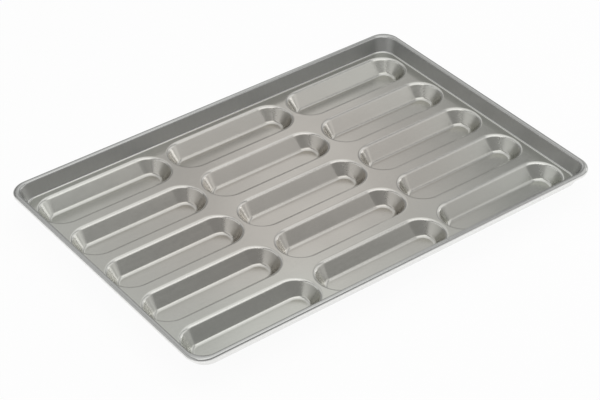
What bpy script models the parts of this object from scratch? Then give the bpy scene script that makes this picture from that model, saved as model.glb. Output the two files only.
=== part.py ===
"""Full-size hot dog bun pan: fifteen moulds pressed into one sheet, with a wire in its rolled rim.

The whole pan is drawn from a single steel sheet. A flat deck carries three moulds along the
pan and five across. Each mould has round ends, sloping walls and a flat floor. The deck's edge
turns up into a flared wall, and the top of the wall is rolled outwards round a steel wire.

Units are metres. X runs along the moulds and the long side of the pan, Y across it, Z up.
The origin is under the middle of the pan, on the plane that the mould floors stand on.
"""

import math

import bmesh
import bpy

# Sheet and rim wire
SHEET_THICKNESS = 0.0008
WIRE_DIAMETER = 0.0060
WIRE_CLEARANCE = 0.0003
WIRE_END_GAP = 0.0010
CURL_EDGE_GAP = 0.0015

# Moulds, measured on the side that holds the dough, where the lip begins to turn down
MOULD_COLUMNS = 3
MOULD_ROWS = 5
MOULD_LENGTH = 0.2060
MOULD_WIDTH = 0.0730
MOULD_DEPTH = 0.0200
END_LEAN = math.radians(32.5)
SIDE_LEAN = math.radians(39.6)
END_LIP_RADIUS = 0.0050
SIDE_LIP_RADIUS = 0.0080
MOULD_FLOOR_RADIUS = 0.0065

# Flat deck that is left between the lips, and from the outer lips to the wall's foot
LAND_BETWEEN_ENDS = 0.0020
LAND_BETWEEN_ROWS = 0.0120
LAND_AT_ENDS = 0.0015
LAND_AT_SIDES = 0.0045

# Wall round the deck, measured up to the top of the rolled rim
WALL_HEIGHT = 0.0240
WALL_FLARE = math.radians(15)
WALL_FOOT_RADIUS = 0.0030
FOOT_CORNER_RADIUS = 0.0220
RIM_CORNER_RADIUS = 0.0260

# Smoothness of the faceted solids
MOULD_END_STEPS = 8
CORNER_STEPS = 6
LIP_STEPS = 3
FOOT_STEPS = 2
CURL_STEPS = 12
WIRE_BEVEL_STEPS = 2
SHARP_EDGE_ANGLE = math.radians(40)

# Worked out from the sizes above
BEAD_RADIUS = WIRE_DIAMETER / 2 + WIRE_CLEARANCE + SHEET_THICKNESS
DECK_HEIGHT = SHEET_THICKNESS + MOULD_DEPTH
MOULD_PITCH_X = MOULD_LENGTH + LAND_BETWEEN_ENDS
MOULD_PITCH_Y = MOULD_WIDTH + LAND_BETWEEN_ROWS
DECK_LENGTH = MOULD_PITCH_X * (MOULD_COLUMNS - 1) + MOULD_LENGTH + 2 * LAND_AT_ENDS
DECK_WIDTH = MOULD_PITCH_Y * (MOULD_ROWS - 1) + MOULD_WIDTH + 2 * LAND_AT_SIDES


def clear_scene():
    """Remove whatever the file already holds."""
    for scene_object in list(bpy.data.objects):
        bpy.data.objects.remove(scene_object, do_unlink=True)


def bare_metal(name, colour, roughness):
    """An unpainted metal finish."""
    material = bpy.data.materials.new(name)
    material.use_nodes = True
    shader = material.node_tree.nodes["Principled BSDF"]
    shader.inputs["Base Color"].default_value = (*colour, 1.0)
    shader.inputs["Metallic"].default_value = 0.9
    shader.inputs["Roughness"].default_value = roughness
    return material


def aluminised_steel():
    """Warm grey, satin coating of the drawn sheet."""
    return bare_metal("aluminised_steel", (0.46, 0.45, 0.43), 0.38)


def drawn_wire_steel():
    """Darker, duller skin of plain steel wire."""
    return bare_metal("drawn_wire_steel", (0.40, 0.39, 0.38), 0.45)


def bend(radius, angle, steps):
    """Points along a bend that starts level, as (distance along, height gained)."""
    turns = [angle * step / steps for step in range(steps + 1)]
    return [(radius * math.sin(turn), radius * (1 - math.cos(turn))) for turn in turns]


def mould_drops():
    """Drops below the deck at which a mould's outline is taken, to follow the bends of its lip and floor."""
    turn = math.pi / 2 - SIDE_LEAN
    lip = [rise for _, rise in bend(SIDE_LIP_RADIUS, turn, LIP_STEPS)]
    foot = [rise for _, rise in bend(MOULD_FLOOR_RADIUS, turn, FOOT_STEPS)]
    return lip + [MOULD_DEPTH - rise for rise in reversed(foot)]


def distance_in(drop, lean, lip_radius):
    """How far a mould's wall has come in from where its lip begins, at a drop below the deck."""
    lip_drop = lip_radius * (1 - math.sin(lean))
    foot_rise = MOULD_FLOOR_RADIUS * (1 - math.sin(lean))
    rise = max(MOULD_DEPTH - drop, 0.0)
    if drop <= lip_drop:
        return math.sqrt(drop * (2 * lip_radius - drop))
    straight_drop = min(drop, MOULD_DEPTH - foot_rise) - lip_drop
    on_the_wall = lip_radius * math.cos(lean) + straight_drop * math.tan(lean)
    if rise >= foot_rise:
        return on_the_wall
    floor_bend = MOULD_FLOOR_RADIUS * math.cos(lean) - math.sqrt(rise * (2 * MOULD_FLOOR_RADIUS - rise))
    return on_the_wall + floor_bend


def rim_centre():
    """Middle of the rolled rim in the wall's section, as (distance out, rise) from the deck's edge."""
    foot_out, foot_rise = bend(WALL_FOOT_RADIUS, math.pi / 2 - WALL_FLARE, FOOT_STEPS)[-1]
    rise = WALL_HEIGHT - BEAD_RADIUS
    curl_start_rise = rise + BEAD_RADIUS * math.sin(WALL_FLARE)
    curl_start_out = foot_out + (curl_start_rise - foot_rise) * math.tan(WALL_FLARE)
    return curl_start_out + BEAD_RADIUS * math.cos(WALL_FLARE), rise


def curl_turn():
    """How far the sheet turns round the wire before its free edge nears the back of the wall."""
    reach_of_wall = math.acos((BEAD_RADIUS - SHEET_THICKNESS) / BEAD_RADIUS)
    return 2 * math.pi - reach_of_wall - CURL_EDGE_GAP / BEAD_RADIUS


def wall_section():
    """Points up the wall and round its curl, as (distance out, rise) from the deck's edge."""
    section = bend(WALL_FOOT_RADIUS, math.pi / 2 - WALL_FLARE, FOOT_STEPS)
    rim_out, rim_rise = rim_centre()
    for step in range(CURL_STEPS + 1):
        angle = math.pi - WALL_FLARE - curl_turn() * step / CURL_STEPS
        out = rim_out + BEAD_RADIUS * math.cos(angle)
        rise = rim_rise + BEAD_RADIUS * math.sin(angle)
        section.append((out, rise))
    return section


def corner_radius(out):
    """Corner radius of the wall at a distance out from the deck's edge."""
    rim_out = rim_centre()[0] + BEAD_RADIUS
    growth = (RIM_CORNER_RADIUS - FOOT_CORNER_RADIUS) / rim_out
    return FOOT_CORNER_RADIUS + growth * out


def rounded_outline(centres, radius, first_angle, steps):
    """Points of a closed outline with an equal arc about each centre, anticlockwise."""
    sweep = 2 * math.pi / len(centres)
    points = []
    for corner, (centre_x, centre_y) in enumerate(centres):
        for step in range(steps + 1):
            angle = first_angle + sweep * (corner + step / steps)
            points.append((centre_x + radius * math.cos(angle), centre_y + radius * math.sin(angle)))
    return points


def mould_outline(centre_x, centre_y, drop):
    """Round-ended outline of a mould at a drop below the deck."""
    length = MOULD_LENGTH - 2 * distance_in(drop, END_LEAN, END_LIP_RADIUS)
    width = MOULD_WIDTH - 2 * distance_in(drop, SIDE_LEAN, SIDE_LIP_RADIUS)
    half_straight = (length - width) / 2
    ends = [(centre_x + half_straight, centre_y), (centre_x - half_straight, centre_y)]
    return rounded_outline(ends, width / 2, -math.pi / 2, MOULD_END_STEPS)


def pan_outline(out, radius):
    """Round-cornered outline that lies a distance out from the deck's edge."""
    x = DECK_LENGTH / 2 + out - radius
    y = DECK_WIDTH / 2 + out - radius
    return rounded_outline([(x, y), (-x, y), (-x, -y), (x, -y)], radius, 0.0, CORNER_STEPS)


def add_outline(sheet, points, height):
    """Vertices of a closed outline in the sheet, all at one height."""
    return [sheet.verts.new((x, y, height)) for x, y in points]


def loft(sheet, outlines):
    """Faces between closed outlines of vertices, each joined to the next."""
    rings = []
    for outline in outlines:
        rings.append([sheet.edges.new((outline[index - 1], outline[index])) for index in range(len(outline))])
    for ring, next_ring in zip(rings, rings[1:]):
        bmesh.ops.bridge_loops(sheet, edges=ring + next_ring)


def press_mould(sheet, centre_x, centre_y):
    """Loft one mould from its lip down to its flat floor."""
    outlines = []
    for drop in mould_drops():
        outlines.append(add_outline(sheet, mould_outline(centre_x, centre_y, drop), DECK_HEIGHT - drop))
    loft(sheet, outlines)
    sheet.faces.new(outlines[-1])


def raise_wall(sheet):
    """Loft the wall and its curl from the deck's edge up and over."""
    outlines = []
    for out, rise in wall_section():
        outlines.append(add_outline(sheet, pan_outline(out, corner_radius(out)), DECK_HEIGHT + rise))
    loft(sheet, outlines)


def fill_deck(sheet):
    """Fill the flat deck between the wall's foot and the lips of the moulds."""
    open_edges = []
    for edge in sheet.edges:
        heights = [vert.co.z for vert in edge.verts]
        if edge.is_boundary and all(math.isclose(height, DECK_HEIGHT, rel_tol=1e-5) for height in heights):
            open_edges.append(edge)
    bmesh.ops.triangle_fill(sheet, use_beauty=True, edges=open_edges, normal=(0, 0, 1))


def face_upwards(sheet):
    """Turn every face of the open sheet to its food side."""
    bmesh.ops.recalc_face_normals(sheet, faces=sheet.faces)
    if sum(face.normal.z * face.calc_area() for face in sheet.faces) < 0:
        bmesh.ops.reverse_faces(sheet, faces=sheet.faces)


def make_pan_shell(collection):
    """The drawn sheet: its food side, with the thickness added underneath."""
    sheet = bmesh.new()
    raise_wall(sheet)
    for column in range(MOULD_COLUMNS):
        for row in range(MOULD_ROWS):
            centre_x = MOULD_PITCH_X * (column - (MOULD_COLUMNS - 1) / 2)
            centre_y = MOULD_PITCH_Y * (row - (MOULD_ROWS - 1) / 2)
            press_mould(sheet, centre_x, centre_y)
    fill_deck(sheet)
    face_upwards(sheet)
    mesh = bpy.data.meshes.new("pan_shell")
    sheet.to_mesh(mesh)
    sheet.free()
    mesh.shade_smooth()
    mesh.set_sharp_from_angle(angle=SHARP_EDGE_ANGLE)
    mesh.materials.append(aluminised_steel())
    shell = bpy.data.objects.new("pan_shell", mesh)
    collection.objects.link(shell)
    thickness = shell.modifiers.new("sheet thickness", "SOLIDIFY")
    thickness.thickness = SHEET_THICKNESS
    thickness.offset = -1.0
    thickness.use_even_offset = True


def make_rim_wire(collection):
    """The wire in the rolled rim: one length bent to the rim, its ends butted in the back straight."""
    rim_out, rim_rise = rim_centre()
    height = DECK_HEIGHT + rim_rise
    loop = pan_outline(rim_out, corner_radius(rim_out))
    back_straight = CORNER_STEPS + 1
    back_y = loop[back_straight][1]
    route = [(-WIRE_END_GAP / 2, back_y)] + loop[back_straight:]
    route += loop[:back_straight] + [(WIRE_END_GAP / 2, back_y)]
    curve = bpy.data.curves.new("rim_wire", "CURVE")
    curve.dimensions = "3D"
    curve.bevel_depth = WIRE_DIAMETER / 2
    curve.bevel_resolution = WIRE_BEVEL_STEPS
    curve.use_fill_caps = True
    spline = curve.splines.new("POLY")
    spline.points.add(len(route) - 1)
    for point, (x, y) in zip(spline.points, route):
        point.co = (x, y, height, 1.0)
    curve.materials.append(drawn_wire_steel())
    collection.objects.link(bpy.data.objects.new("rim_wire", curve))


clear_scene()
pan = bpy.data.collections.new("hot_dog_bun_pan")
bpy.context.scene.collection.children.link(pan)
make_pan_shell(pan)
make_rim_wire(pan)
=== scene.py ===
import math

import bmesh
import bpy
from mathutils import Matrix, Vector


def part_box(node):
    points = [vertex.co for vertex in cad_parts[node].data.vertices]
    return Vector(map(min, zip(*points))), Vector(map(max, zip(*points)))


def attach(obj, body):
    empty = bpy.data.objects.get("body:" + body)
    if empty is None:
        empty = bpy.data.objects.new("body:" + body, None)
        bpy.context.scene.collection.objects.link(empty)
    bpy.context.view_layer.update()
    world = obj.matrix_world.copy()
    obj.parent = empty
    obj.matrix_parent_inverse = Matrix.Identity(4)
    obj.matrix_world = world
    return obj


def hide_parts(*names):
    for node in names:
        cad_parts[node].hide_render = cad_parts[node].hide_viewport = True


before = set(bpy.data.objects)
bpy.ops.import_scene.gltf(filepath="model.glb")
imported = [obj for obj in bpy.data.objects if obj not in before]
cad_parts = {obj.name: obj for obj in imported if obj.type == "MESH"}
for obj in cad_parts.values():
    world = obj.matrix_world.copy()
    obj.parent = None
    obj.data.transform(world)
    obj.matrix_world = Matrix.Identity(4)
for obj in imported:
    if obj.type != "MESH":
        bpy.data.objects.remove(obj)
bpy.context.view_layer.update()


# The moulds. Each is a trough pressed down into the deck of the pan's one steel sheet, with round
# ends, sloping sides and a flat floor. One is pressed here, and copied to its fifteen places.
SHEET_THICKNESS = 0.0008
MOULD_COLUMNS = 3
MOULD_ROWS = 5
MOULD_PITCH_X = 0.2080
MOULD_PITCH_Y = 0.0850
MOULD_TOP = (0.2005, 0.0655)
MOULD_FLOOR = (0.1750, 0.0324)
MOULD_DEPTH = 0.0200
END_LIP_RADIUS = 0.0050
SIDE_LIP_RADIUS = 0.0080
FLOOR_BEND_RADIUS = 0.0065
TIP_FLAT = 0.0025
FLAT_BAND = 0.0002
HEIGHT_MATCH = 0.00001
ROUND_PROFILE = 0.5
MOULD_CORNER_STEPS = 16
BEND_STEPS = 10
END, SIDE = 0, 1

deck_height = SHEET_THICKNESS + MOULD_DEPTH


def start_afresh():
    """Leave edit mode with nothing selected, so that the next tool acts on the new piece alone."""
    if bpy.context.object and bpy.context.object.mode != "OBJECT":
        bpy.ops.object.mode_set(mode="OBJECT")
    bpy.ops.object.select_all(action="DESELECT")


def add_plate(length, width, corner, corner_steps, height):
    """Flat face with round corners, added to the mesh that is being edited, and left selected."""
    bpy.ops.mesh.select_all(action="DESELECT")
    bpy.ops.mesh.primitive_plane_add(size=1, location=(0, 0, height))
    bpy.ops.transform.resize(value=(length, width, 1), center_override=(0, 0, height))
    bpy.ops.mesh.bevel(
        offset_type="OFFSET",
        offset=corner,
        segments=corner_steps,
        profile=ROUND_PROFILE,
        affect="VERTICES",
        clamp_overlap=False,
    )


def outline_points(corner_steps):
    """How many points an outline with four round corners has."""
    return 4 * (corner_steps + 1)


def select_newest(piece, count):
    """Select only the points that were added last to the mesh that is being edited."""
    edit = bmesh.from_edit_mesh(piece.data)
    first = len(edit.verts) - count
    for vert in edit.verts:
        vert.select_set(vert.index >= first)
    edit.select_flush(True)
    bmesh.update_edit_mesh(piece.data)


def loft(plates, corner_steps):
    """Sheet that runs through round-cornered outlines, given as (length, width, corner, height)."""
    start_afresh()
    bpy.ops.mesh.primitive_plane_add(size=1)
    sheet = bpy.context.object
    bpy.ops.object.mode_set(mode="EDIT")
    bpy.ops.mesh.delete(type="VERT")
    for number, (length, width, corner, height) in enumerate(plates):
        add_plate(length, width, corner, corner_steps, height)
        bpy.ops.mesh.delete(type="ONLY_FACE")
        if number:
            select_newest(sheet, 2 * outline_points(corner_steps))
            bpy.ops.mesh.bridge_edge_loops()
    return sheet


def open_deck_edges(edit):
    """Edges at deck height that still have a face on one side only."""
    found = []
    for edge in edit.edges:
        if edge.is_boundary and all(abs(vert.co.z - deck_height) < HEIGHT_MATCH for vert in edge.verts):
            found.append(edge)
    return found


def add_flat_band(piece, length, width, band):
    """Narrow flat strip off the open edge at deck height, outwards or, where it is negative, inwards."""
    bpy.ops.mesh.select_all(action="DESELECT")
    edit = bmesh.from_edit_mesh(piece.data)
    for edge in open_deck_edges(edit):
        edge.select_set(True)
    bmesh.update_edit_mesh(piece.data)
    bpy.ops.mesh.extrude_edges_move()
    growth = (1 + 2 * band / length, 1 + 2 * band / width, 1)
    bpy.ops.transform.resize(value=growth, center_override=(0, 0, deck_height))


def wall_slope(part):
    """Lean from upright of a mould's END or SIDE."""
    return math.atan((MOULD_TOP[part] - MOULD_FLOOR[part]) / 2 / MOULD_DEPTH)


def lip_reach(part, lip_radius):
    """How far outside the mould's sharp outline its rounded lip starts."""
    return lip_radius * math.tan((math.pi / 2 - wall_slope(part)) / 2)


def inset(part, lip_radius, drop):
    """How far in from the lip's start the mould's wall lies, at a drop below the deck."""
    lean = wall_slope(part)
    lip_drop = lip_radius * (1 - math.sin(lean))
    foot_rise = FLOOR_BEND_RADIUS * (1 - math.sin(lean))
    if drop <= lip_drop:
        return math.sqrt(drop * (2 * lip_radius - drop))
    if drop <= MOULD_DEPTH - foot_rise:
        return lip_radius * math.cos(lean) + (drop - lip_drop) * math.tan(lean)
    rise = max(MOULD_DEPTH - drop, 0)
    foot_start = lip_radius * math.cos(lean) + (MOULD_DEPTH - foot_rise - lip_drop) * math.tan(lean)
    return foot_start + FLOOR_BEND_RADIUS * math.cos(lean) - math.sqrt(rise * (2 * FLOOR_BEND_RADIUS - rise))


def press_mould():
    """One mould at the pan's middle, as outlines down its wall and a flat floor."""
    turn = math.pi / 2 - min(wall_slope(END), wall_slope(SIDE))
    turns = [turn * step / BEND_STEPS for step in range(BEND_STEPS + 1)]
    lip_radius = max(END_LIP_RADIUS, SIDE_LIP_RADIUS)
    drops = [lip_radius * (1 - math.cos(angle)) for angle in turns]
    drops += [MOULD_DEPTH - FLOOR_BEND_RADIUS * (1 - math.cos(angle)) for angle in turns[::-1]]
    plates = []
    for drop in drops:
        length = MOULD_TOP[END] + 2 * (lip_reach(END, END_LIP_RADIUS) - inset(END, END_LIP_RADIUS, drop))
        width = MOULD_TOP[SIDE] + 2 * (lip_reach(SIDE, SIDE_LIP_RADIUS) - inset(SIDE, SIDE_LIP_RADIUS, drop))
        plates.append((length, width, (width - TIP_FLAT) / 2, deck_height - drop))
    mould = loft(plates, MOULD_CORNER_STEPS)
    select_newest(mould, outline_points(MOULD_CORNER_STEPS))
    bpy.ops.mesh.edge_face_add()
    bpy.ops.mesh.inset(thickness=FLAT_BAND)
    top_length, top_width = plates[0][:2]
    add_flat_band(mould, top_length, top_width, FLAT_BAND)
    return mould


mould = press_mould()
moulds = []
for column in range(MOULD_COLUMNS):
    for row in range(MOULD_ROWS):
        start_afresh()
        mould.select_set(True)
        bpy.context.view_layer.objects.active = mould
        bpy.ops.object.duplicate()
        place_x = MOULD_PITCH_X * (column - (MOULD_COLUMNS - 1) / 2)
        place_y = MOULD_PITCH_Y * (row - (MOULD_ROWS - 1) / 2)
        bpy.ops.transform.translate(value=(place_x, place_y, 0))
        moulds.append(bpy.context.object)
bpy.data.objects.remove(mould)


# The wall and its rolled rim. The deck's edge is drawn up into a flared wall, and the top of the
# wall is rolled outwards and down, nearly all the way round the steel wire that stiffens it.
DECK_LENGTH = 0.6250
DECK_WIDTH = 0.4220
WALL_FLARE = math.radians(15)
WALL_FOOT_RADIUS = 0.0030
FOOT_CORNER_RADIUS = 0.0220
RIM_CORNER_RADIUS = 0.0260
RIM_RADIUS = 0.0041
CURL_TURN = math.radians(302)
CURL_STEPS = 32
WALL_CORNER_STEPS = 14

shell_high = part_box("pan_shell")[1]
rim_out = shell_high[0] - DECK_LENGTH / 2 - RIM_RADIUS
rim_rise = shell_high[2] - deck_height - RIM_RADIUS


def draw_wall():
    """Round-cornered outlines up the wall and round its curl, and a flat band in towards the deck."""
    section = []
    for step in range(BEND_STEPS + 1):
        angle = (math.pi / 2 - WALL_FLARE) * step / BEND_STEPS
        section.append((WALL_FOOT_RADIUS * math.sin(angle), WALL_FOOT_RADIUS * (1 - math.cos(angle))))
    for step in range(CURL_STEPS + 1):
        angle = math.pi - WALL_FLARE - CURL_TURN * step / CURL_STEPS
        section.append((rim_out + RIM_RADIUS * math.cos(angle), rim_rise + RIM_RADIUS * math.sin(angle)))
    corner_growth = (RIM_CORNER_RADIUS - FOOT_CORNER_RADIUS) / (rim_out + RIM_RADIUS)
    plates = []
    for out, rise in section:
        corner = FOOT_CORNER_RADIUS + corner_growth * out
        plates.append((DECK_LENGTH + 2 * out, DECK_WIDTH + 2 * out, corner, deck_height + rise))
    wall = loft(plates, WALL_CORNER_STEPS)
    add_flat_band(wall, DECK_LENGTH, DECK_WIDTH, -FLAT_BAND)
    return wall


shell = draw_wall()


# The sheet as a whole. The deck closes the flat between the wall's foot and the mould lips, and the
# steel's thickness lies under the food side, the same all over. Each side has a finish of its own.
SMOOTH_ANGLE = math.radians(35)
FOOD_SIDE, OUTSIDE = 0, 1

start_afresh()
for piece in moulds:
    piece.select_set(True)
shell.select_set(True)
bpy.context.view_layer.objects.active = shell
bpy.ops.object.join()
shell.name = "drawn_pan"
shell.data.name = "drawn_pan"
bpy.ops.object.mode_set(mode="EDIT")
edit = bmesh.from_edit_mesh(shell.data)
bmesh.ops.triangle_fill(edit, use_beauty=True, edges=open_deck_edges(edit), normal=(0, 0, 1))
bmesh.update_edit_mesh(shell.data)
bpy.ops.mesh.select_all(action="SELECT")
bpy.ops.mesh.normals_make_consistent(inside=False)
edit = bmesh.from_edit_mesh(shell.data)
if sum(face.normal.z * face.calc_area() for face in edit.faces) < 0:
    bpy.ops.mesh.flip_normals()
bpy.ops.object.mode_set(mode="OBJECT")

shell.data.materials.clear()
for side in (FOOD_SIDE, OUTSIDE):
    shell.data.materials.append(None)
thickness = shell.modifiers.new("sheet thickness", "SOLIDIFY")
thickness.thickness = SHEET_THICKNESS
thickness.offset = -1
thickness.use_even_offset = True
thickness.material_offset = OUTSIDE - FOOD_SIDE
bpy.ops.object.modifier_apply(modifier=thickness.name)
bpy.ops.object.shade_smooth_by_angle(angle=SMOOTH_ANGLE)


# The skin of rolled steel, shared by both sides of the sheet and by the wire. It has fine lines along
# the rolling, a faint crystal pattern, cloudy patches, marks where the press drew the walls down,
# thin scuffs, a few dark specks, and slight buckles that show only in its reflections.
GRAIN_SCALE = (7, 240, 240)
GRAIN_DETAIL = 4
FINE_GRAIN_SCALE = (50, 1500, 1500)
FINE_GRAIN_DETAIL = 2
CRYSTAL_SCALE = 380
CRYSTAL_SHARE = 0.5
CLOUD_SCALE = 11
CLOUD_DETAIL = 5
DRAW_MARKS_ACROSS = 420
DRAW_MARKS_DOWN = 12
DRAW_MARKS_DETAIL = 3
DRAW_MARKS_STEEPNESS = (0.30, 0.75)
SCUFF_SCALE = (16, 48, 30)
SCUFF_WIDTH = 0.012
SCUFF_PATCH_SCALE = 19
SCUFF_PATCH_DETAIL = 2
SCUFF_PATCH_EDGE = (0.54, 0.66)
SPECK_SCALE = 75
SPECK_RARITY = 0.93
SPECK_EDGE = (0.02, 0.06)
BUCKLE_SCALE = 16
BUCKLE_DETAIL = 1
NOISE_MIDDLE = 0.5
SCUFF_LIGHTENS = 0.6
GRAIN_DULLS = 0.8
CLOUD_POLISHES = 0.6
GRAIN_HEIGHT = 0.02
DRAW_MARK_HEIGHT = 0.25
SCUFF_DEPTH = 0.3


def calculate(tree, operation, *terms):
    """Result of a Math node over sockets and numbers."""
    node = tree.nodes.new("ShaderNodeMath")
    node.operation = operation
    for socket, term in zip(node.inputs, terms):
        if isinstance(term, (int, float)):
            socket.default_value = term
        else:
            tree.links.new(term, socket)
    return node.outputs["Value"]


def total(tree, *terms):
    """Sum of sockets and numbers."""
    result = terms[0]
    for term in terms[1:]:
        result = calculate(tree, "ADD", result, term)
    return result


def product(tree, *terms):
    """Product of sockets and numbers."""
    result = terms[0]
    for term in terms[1:]:
        result = calculate(tree, "MULTIPLY", result, term)
    return result


def less(tree, value, taken):
    """Value with another taken off it."""
    return calculate(tree, "SUBTRACT", value, taken)


def ease(tree, value, low, high, new_low=0.0, new_high=1.0):
    """Value taken smoothly from one range into another, and held at the ends."""
    node = tree.nodes.new("ShaderNodeMapRange")
    node.interpolation_type = "SMOOTHSTEP"
    tree.links.new(value, node.inputs["Value"])
    node.inputs["From Min"].default_value = low
    node.inputs["From Max"].default_value = high
    node.inputs["To Min"].default_value = new_low
    node.inputs["To Max"].default_value = new_high
    return node.outputs["Result"]


def stretch(tree, place, scale):
    """Position scaled by its own factor along each axis."""
    node = tree.nodes.new("ShaderNodeVectorMath")
    node.operation = "MULTIPLY"
    tree.links.new(place, node.inputs[0])
    node.inputs[1].default_value = scale
    return node.outputs["Vector"]


def noise(tree, place, scale, detail):
    """Noise about a half, at a scale that is one number or one for each axis."""
    node = tree.nodes.new("ShaderNodeTexNoise")
    node.inputs["Detail"].default_value = detail
    if isinstance(scale, tuple):
        node.inputs["Scale"].default_value = 1.0
        place = stretch(tree, place, scale)
    else:
        node.inputs["Scale"].default_value = scale
    tree.links.new(place, node.inputs["Vector"])
    return node.outputs["Fac"]


def cells(tree, place, scale, feature):
    """Voronoi cells, in one of the node's features."""
    node = tree.nodes.new("ShaderNodeTexVoronoi")
    node.feature = feature
    node.inputs["Scale"].default_value = scale
    tree.links.new(place, node.inputs["Vector"])
    return node


def split(tree, vector):
    """The three outputs of a Separate XYZ node."""
    node = tree.nodes.new("ShaderNodeSeparateXYZ")
    tree.links.new(vector, node.inputs["Vector"])
    return node.outputs["X"], node.outputs["Y"], node.outputs["Z"]


def steepness(tree, facing):
    """How far the metal leans from level: none on the deck, and one on an upright wall."""
    return less(tree, 1.0, calculate(tree, "ABSOLUTE", split(tree, facing)[2]))


def draw_marks(tree, place, facing):
    """Fine lines straight down the walls, none on level metal."""
    along_x, along_y, height = split(tree, place)
    facing_x, facing_y, _ = split(tree, facing)
    lean_x = calculate(tree, "ABSOLUTE", facing_x)
    lean_y = calculate(tree, "ABSOLUTE", facing_y)
    on_ends = calculate(tree, "GREATER_THAN", lean_x, lean_y)
    on_sides = less(tree, 1.0, on_ends)
    across = total(tree, product(tree, along_y, on_ends), product(tree, along_x, on_sides))
    lines_place = tree.nodes.new("ShaderNodeCombineXYZ")
    tree.links.new(product(tree, across, DRAW_MARKS_ACROSS), lines_place.inputs["X"])
    tree.links.new(product(tree, height, DRAW_MARKS_DOWN), lines_place.inputs["Y"])
    lines = noise(tree, lines_place.outputs["Vector"], 1.0, DRAW_MARKS_DETAIL)
    on_walls = ease(tree, steepness(tree, facing), *DRAW_MARKS_STEEPNESS)
    return product(tree, less(tree, lines, NOISE_MIDDLE), on_walls)


def scuff_marks(tree, place):
    """Thin wandering scratches, in patches."""
    edges = cells(tree, stretch(tree, place, SCUFF_SCALE), 1.0, "DISTANCE_TO_EDGE")
    lines = ease(tree, edges.outputs["Distance"], 0.0, SCUFF_WIDTH, 1.0, 0.0)
    patches = ease(tree, noise(tree, place, SCUFF_PATCH_SCALE, SCUFF_PATCH_DETAIL), *SCUFF_PATCH_EDGE)
    return product(tree, lines, patches)


def dark_specks(tree, place):
    """Small round specks, in a few of the cells."""
    speck_cells = cells(tree, place, SPECK_SCALE, "F1")
    chosen = calculate(tree, "GREATER_THAN", split(tree, speck_cells.outputs["Color"])[1], SPECK_RARITY)
    dots = ease(tree, speck_cells.outputs["Distance"], *SPECK_EDGE, 1.0, 0.0)
    return product(tree, chosen, dots)


def steel_skin():
    """Group that gives a tone about one, a change of roughness and a relief, from named strengths."""
    tree = bpy.data.node_groups.new("skin of rolled steel", "ShaderNodeTree")
    for name in ("Position", "Facing"):
        tree.interface.new_socket(name, in_out="INPUT", socket_type="NodeSocketVector")
    for name in ("Grain", "Clouds", "Draw Marks", "Scuffs", "Specks"):
        tree.interface.new_socket(name, in_out="INPUT", socket_type="NodeSocketFloat")
    for name in ("Tone", "Roughness", "Relief"):
        tree.interface.new_socket(name, in_out="OUTPUT", socket_type="NodeSocketFloat")
    given = tree.nodes.new("NodeGroupInput").outputs
    result = tree.nodes.new("NodeGroupOutput").inputs
    place = given["Position"]

    grain = noise(tree, place, GRAIN_SCALE, GRAIN_DETAIL)
    fine_grain = noise(tree, place, FINE_GRAIN_SCALE, FINE_GRAIN_DETAIL)
    crystals = split(tree, cells(tree, place, CRYSTAL_SCALE, "F1").outputs["Color"])[0]
    lines = total(tree, grain, fine_grain, product(tree, crystals, CRYSTAL_SHARE))
    lines_middle = NOISE_MIDDLE * (2 + CRYSTAL_SHARE)
    lines = product(tree, less(tree, lines, lines_middle), given["Grain"])
    clouds = less(tree, noise(tree, place, CLOUD_SCALE, CLOUD_DETAIL), NOISE_MIDDLE)
    clouds = product(tree, clouds, given["Clouds"])
    drawn = product(tree, draw_marks(tree, place, given["Facing"]), given["Draw Marks"])
    scuffs = product(tree, scuff_marks(tree, place), given["Scuffs"])
    specks = product(tree, dark_specks(tree, place), given["Specks"])
    buckles = noise(tree, place, BUCKLE_SCALE, BUCKLE_DETAIL)

    tone = total(tree, lines, clouds, drawn, 1.0, product(tree, scuffs, SCUFF_LIGHTENS))
    tree.links.new(less(tree, tone, specks), result["Tone"])
    dullness = less(tree, product(tree, lines, GRAIN_DULLS), product(tree, clouds, CLOUD_POLISHES))
    dullness = less(tree, total(tree, dullness, specks), scuffs)
    tree.links.new(dullness, result["Roughness"])
    relief = total(tree, product(tree, grain, GRAIN_HEIGHT), product(tree, drawn, DRAW_MARK_HEIGHT))
    relief = less(tree, relief, product(tree, scuffs, SCUFF_DEPTH))
    tree.links.new(total(tree, relief, buckles), result["Relief"])
    return tree


skin = steel_skin()


def bare_steel(name, colour, roughness, relief, marks):
    """Metal with the rolled skin. A finish may go on from its nodes named toned and dulled."""
    material = bpy.data.materials.new(name)
    material.use_nodes = True
    tree = material.node_tree
    surface = tree.nodes["Principled BSDF"]
    surface.inputs["Metallic"].default_value = 1.0
    place = tree.nodes.new("ShaderNodeTexCoord")
    skin_node = tree.nodes.new("ShaderNodeGroup")
    skin_node.node_tree = skin
    tree.links.new(place.outputs["Object"], skin_node.inputs["Position"])
    tree.links.new(place.outputs["Normal"], skin_node.inputs["Facing"])
    for mark, strength in marks.items():
        skin_node.inputs[mark].default_value = strength
    toned = tree.nodes.new("ShaderNodeVectorMath")
    toned.operation = "SCALE"
    toned.name = "toned"
    toned.inputs[0].default_value = colour
    tree.links.new(skin_node.outputs["Tone"], toned.inputs["Scale"])
    tree.links.new(toned.outputs["Vector"], surface.inputs["Base Color"])
    dulled = calculate(tree, "ADD", skin_node.outputs["Roughness"], roughness)
    dulled.node.name = "dulled"
    tree.links.new(dulled, surface.inputs["Roughness"])
    bump = tree.nodes.new("ShaderNodeBump")
    bump.inputs["Strength"].default_value = 1.0
    bump.inputs["Distance"].default_value = relief
    tree.links.new(skin_node.outputs["Relief"], bump.inputs["Height"])
    tree.links.new(bump.outputs["Normal"], surface.inputs["Normal"])
    return material


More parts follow.
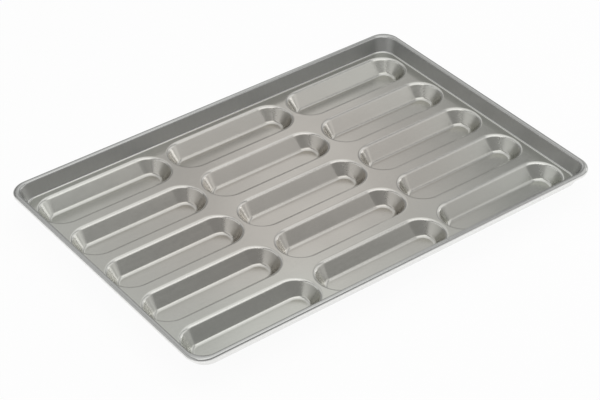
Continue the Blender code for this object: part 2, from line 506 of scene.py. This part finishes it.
# The food side. The steel has a thin glaze baked on, darker and warmer in the middle of the pan,
# where it is thickest, and duller up the drawn walls. The outer side of the rolled rim, where it turns
# out and down, is painted near white, a painted reflection of the bright floor, and the mould lips,
# floor bends and wall's foot are painted lighter: a little rubbed wear and partly painted highlight.
GLAZED_THIN = (0.498, 0.505, 0.470)
GLAZED_THICK = (0.472, 0.450, 0.414)
GLAZED_WALL = (0.455, 0.459, 0.447)
# Near white, lighter than the bare outside: painted reflection on the rim's outer side and painted highlight
# on the rubbed bends.
UNGLAZED_PAINTED_HIGHLIGHT = (0.90, 0.90, 0.885)
GLAZED_ROUGHNESS = 0.21
GLAZED_RELIEF = 0.00022
GLAZED_MARKS = {"Grain": 0.05, "Clouds": 0.11, "Draw Marks": 0.10, "Scuffs": 0.05, "Specks": 0.25}
WALL_DULLNESS = 0.20
DULL_STEEPNESS = (0.36, 0.55)
WALL_START = (0.0, 0.0015)
THICK_PLACE = (0.02, 0.045)
THICK_REACH = (0.42, 0.33)
THICK_EDGE = (0.28, 1.0)
THICK_DRIFT = 0.25
THICK_DRIFT_SCALE = 5
THICK_DRIFT_DETAIL = 2
GLAZE_STOPS_FACING = (0.70, 0.25)
GLAZE_STOPS_BELOW_TOP = 0.009
OUTER_SIDE = (0.02, 0.06)
# Bands of the near-white tone along the mould lips, floor bends and wall's foot: a little wear, partly
# painted highlight.
LIP_RUB_AND_HIGHLIGHT = 0.22
LIP_HIGHLIGHT_START = (0.00002, 0.0003)
LIP_HIGHLIGHT_END = (0.0012, 0.0032)
BEND_RUB_AND_HIGHLIGHT = 0.13
BEND_HIGHLIGHT_START = (0.00002, 0.0002)
BEND_HIGHLIGHT_END = (0.0009, 0.0020)
FOOT_RUB_AND_HIGHLIGHT = 0.08
FOOT_HIGHLIGHT_START = (0.00002, 0.0003)
FOOT_HIGHLIGHT_END = (0.0008, 0.0020)


def blend(tree, first, second, factor):
    """Colour that goes from the first to the second, each of them a socket or three numbers."""
    node = tree.nodes.new("ShaderNodeMix")
    node.data_type = "RGBA"
    for name, colour in (("A", first), ("B", second)):
        if isinstance(colour, tuple):
            node.inputs[name].default_value = (*colour, 1)
        else:
            tree.links.new(colour, node.inputs[name])
    tree.links.new(factor, node.inputs["Factor"])
    return node.outputs["Result"]


def glaze_thinness(tree, place):
    """None in the middle of the pan, where the glaze is thickest, and one towards the walls."""
    reach_x, reach_y = THICK_REACH
    middle_x, middle_y = THICK_PLACE
    from_middle = tree.nodes.new("ShaderNodeVectorMath")
    from_middle.operation = "MULTIPLY_ADD"
    tree.links.new(place, from_middle.inputs[0])
    from_middle.inputs[1].default_value = (1 / reach_x, 1 / reach_y, 0)
    from_middle.inputs[2].default_value = (-middle_x / reach_x, -middle_y / reach_y, 0)
    away = tree.nodes.new("ShaderNodeVectorMath")
    away.operation = "LENGTH"
    tree.links.new(from_middle.outputs["Vector"], away.inputs[0])
    drift = less(tree, noise(tree, place, THICK_DRIFT_SCALE, THICK_DRIFT_DETAIL), NOISE_MIDDLE)
    drift = product(tree, drift, THICK_DRIFT)
    return ease(tree, total(tree, away.outputs["Value"], drift), *THICK_EDGE)


def rim_bare_painted_reflection(tree, place, facing, height):
    """One on the outer side of the rolled rim where it turns out and down: a painted reflection of the
    bright floor.
    """
    outward = tree.nodes.new("ShaderNodeVectorMath")
    outward.operation = "DOT_PRODUCT"
    tree.links.new(place, outward.inputs[0])
    tree.links.new(facing, outward.inputs[1])
    outer_side = ease(tree, outward.outputs["Value"], *OUTER_SIDE)
    turned_down = ease(tree, split(tree, facing)[2], *GLAZE_STOPS_FACING)
    on_rim = calculate(tree, "GREATER_THAN", height, shell_high[2] - GLAZE_STOPS_BELOW_TOP)
    return product(tree, outer_side, turned_down, on_rim)


def rub_and_highlight_band(tree, reach, start, end, strength):
    """How far the colour goes to the near-white tone, in a band that fades in and out over a reach from a
    level: partly wear, partly painted highlight.
    """
    return product(tree, ease(tree, reach, *start, 0.0, strength), ease(tree, reach, *end, 1.0, 0.0))


def glaze(material):
    """Lay the glaze over bare steel, with its walls duller, a painted reflection on its rim's outer side and
    painted highlights, partly wear, on its bends.
    """
    tree = material.node_tree
    place = tree.nodes["Texture Coordinate"].outputs["Object"]
    facing = tree.nodes["Texture Coordinate"].outputs["Normal"]
    height = split(tree, place)[2]
    over_deck = less(tree, height, deck_height)
    below_deck = less(tree, deck_height, height)
    over_floor = less(tree, height, SHEET_THICKNESS)
    lip_rub_and_highlight = rub_and_highlight_band(tree, below_deck, LIP_HIGHLIGHT_START, LIP_HIGHLIGHT_END, LIP_RUB_AND_HIGHLIGHT)
    bend_rub_and_highlight = rub_and_highlight_band(tree, over_floor, BEND_HIGHLIGHT_START, BEND_HIGHLIGHT_END, BEND_RUB_AND_HIGHLIGHT)
    foot_rub_and_highlight = rub_and_highlight_band(tree, over_deck, FOOT_HIGHLIGHT_START, FOOT_HIGHLIGHT_END, FOOT_RUB_AND_HIGHLIGHT)
    rubs_and_highlights = calculate(tree, "MAXIMUM", calculate(tree, "MAXIMUM", lip_rub_and_highlight, bend_rub_and_highlight), foot_rub_and_highlight)
    # The rim's outer side and the rubbed bends go to the near-white tone: painted reflection and painted
    # highlight, partly wear.
    bare = calculate(tree, "MAXIMUM", rim_bare_painted_reflection(tree, place, facing, height), rubs_and_highlights)
    tint = blend(tree, GLAZED_THICK, GLAZED_THIN, glaze_thinness(tree, place))
    tint = blend(tree, tint, GLAZED_WALL, ease(tree, over_deck, *WALL_START))
    tree.links.new(blend(tree, tint, UNGLAZED_PAINTED_HIGHLIGHT, bare), tree.nodes["toned"].inputs[0])
    wall_roughness = GLAZED_ROUGHNESS + WALL_DULLNESS
    dullness = ease(tree, steepness(tree, facing), *DULL_STEEPNESS, GLAZED_ROUGHNESS, wall_roughness)
    tree.links.new(dullness, tree.nodes["dulled"].inputs[1])


glazed = bare_steel("glazed aluminised steel", GLAZED_THIN, GLAZED_ROUGHNESS, GLAZED_RELIEF, GLAZED_MARKS)
glaze(glazed)
shell.data.materials[FOOD_SIDE] = glazed


# The outside. The same steel without the glaze, nearly as bright as it left the mill. With its two
# finishes on, the sheet takes the place of the plain solid.
OUTSIDE_BARE = (0.84, 0.84, 0.825)
OUTSIDE_ROUGHNESS = 0.24
OUTSIDE_RELIEF = 0.00022
OUTSIDE_MARKS = {"Grain": 0.07, "Clouds": 0.12, "Draw Marks": 0.10, "Scuffs": 0.08, "Specks": 0.2}

outside = bare_steel("bare aluminised steel", OUTSIDE_BARE, OUTSIDE_ROUGHNESS, OUTSIDE_RELIEF, OUTSIDE_MARKS)
shell.data.materials[OUTSIDE] = outside

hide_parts("pan_shell")
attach(shell, "root")


# The rim wire. Plain drawn steel wire, hidden in the roll of the rim, and seen only from below
# through the slit between the roll's edge and the wall.
WIRE_COLOUR = (0.32, 0.31, 0.30)
WIRE_ROUGHNESS = 0.42
WIRE_RELIEF = 0.00008
WIRE_MARKS = {"Grain": 0.12, "Clouds": 0.15, "Draw Marks": 0.0, "Scuffs": 0.05, "Specks": 0.3}

wire_finish = bare_steel("drawn wire steel", WIRE_COLOUR, WIRE_ROUGHNESS, WIRE_RELIEF, WIRE_MARKS)
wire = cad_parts["rim_wire"]
wire.data.materials.clear()
wire.data.materials.append(wire_finish)


# The studio. A pale floor, which the camera and the metal see as nearly white and which keeps the
# pan's shadow, in a soft white surround, with eight soft boxes round the pan and over it.
FLOOR_SIZE = 12
FLOOR_COLOUR = (0.9, 0.9, 0.9)
FLOOR_ROUGHNESS = 1.0
FLOOR_SEEN_WHITE = 0.93
SURROUND_STRENGTH = 0.385
LAMP_DISTANCE = 1.7
# Each soft box: degrees round from the pan's back to its right, degrees up, width, height, power.
SOFTBOXES = [
    (192, 65, 2.2, 0.9, 6.43),
    (96, 12, 0.5, 0.3, 0.74),
    (108, 36, 2.2, 0.9, 2.56),
    (0, 90, 2.2, 1.4, 3.01),
    (36, 28, 0.3, 2.2, 0.56),
    (288, 28, 2.2, 0.9, 3.49),
    (12, 65, 2.2, 2.2, 6.65),
    (96, 20, 2.2, 1.4, 2.95),
]

start_afresh()
bpy.ops.mesh.primitive_plane_add(size=FLOOR_SIZE, location=(0, 0, 0))
studio_floor = bpy.context.object
studio_floor.name = "studio_floor"
floor_paint = bpy.data.materials.new("studio floor paint")
floor_paint.use_nodes = True
tree = floor_paint.node_tree
paint = tree.nodes["Principled BSDF"]
paint.inputs["Base Color"].default_value = (*FLOOR_COLOUR, 1)
paint.inputs["Roughness"].default_value = FLOOR_ROUGHNESS
glow = tree.nodes.new("ShaderNodeEmission")
glow.inputs["Strength"].default_value = 1.0
path = tree.nodes.new("ShaderNodeLightPath")
seen = calculate(tree, "MAXIMUM", path.outputs["Is Camera Ray"], path.outputs["Is Glossy Ray"])
mix = tree.nodes.new("ShaderNodeMixShader")
tree.links.new(product(tree, seen, FLOOR_SEEN_WHITE), mix.inputs["Fac"])
tree.links.new(paint.outputs["BSDF"], mix.inputs[1])
tree.links.new(glow.outputs["Emission"], mix.inputs[2])
tree.links.new(mix.outputs["Shader"], tree.nodes["Material Output"].inputs["Surface"])
studio_floor.data.materials.append(floor_paint)

world = bpy.data.worlds.new("studio")
bpy.context.scene.world = world
world.use_nodes = True
world.node_tree.nodes["Background"].inputs["Color"].default_value = (1, 1, 1, 1)
world.node_tree.nodes["Background"].inputs["Strength"].default_value = SURROUND_STRENGTH

for number, (azimuth, elevation, width, height, power) in enumerate(SOFTBOXES):
    across = math.radians(azimuth)
    up = math.radians(elevation)
    towards = Vector((math.sin(across) * math.cos(up), math.cos(across) * math.cos(up), math.sin(up)))
    bpy.ops.object.light_add(type="AREA", location=LAMP_DISTANCE * towards)
    softbox = bpy.context.object
    softbox.name = "softbox_%d" % (number + 1)
    softbox.rotation_euler = towards.to_track_quat("Z", "Y").to_euler()
    softbox.data.shape = "RECTANGLE"
    softbox.data.size = width
    softbox.data.size_y = height
    softbox.data.energy = power


# The camera, at the photograph's viewing angle: above the pan's near left corner, with a long lens.
AZIMUTH = math.radians(37.36)
ELEVATION = math.radians(36.72)
ROLL = math.radians(-0.36)
DISTANCE = 2.5546
LENS = 115.34
SENSOR_WIDTH = 36
AIM = (-0.0019, -0.0629)
SIDE_SHIFT = -0.05
FAR_CLIP = 50

camera_data = bpy.data.cameras.new("camera")
camera = bpy.data.objects.new("camera", camera_data)
bpy.context.scene.collection.objects.link(camera)
bpy.context.scene.camera = camera
camera_data.lens = LENS
camera_data.sensor_width = SENSOR_WIDTH
camera_data.shift_x = SIDE_SHIFT
camera_data.clip_end = FAR_CLIP
forward_x = math.sin(AZIMUTH) * math.cos(ELEVATION)
forward_y = math.cos(AZIMUTH) * math.cos(ELEVATION)
stand_x = AIM[0] - DISTANCE * forward_x
stand_y = AIM[1] - DISTANCE * forward_y
stand_z = shell_high[2] + DISTANCE * math.sin(ELEVATION)
stand = Matrix.Translation((stand_x, stand_y, stand_z))
turn = Matrix.Rotation(-AZIMUTH, 4, "Z")
tilt = Matrix.Rotation(math.pi / 2 - ELEVATION, 4, "X")
camera.matrix_world = stand @ turn @ tilt @ Matrix.Rotation(ROLL, 4, "Z")
bpy.context.scene.view_settings.view_transform = "Standard"
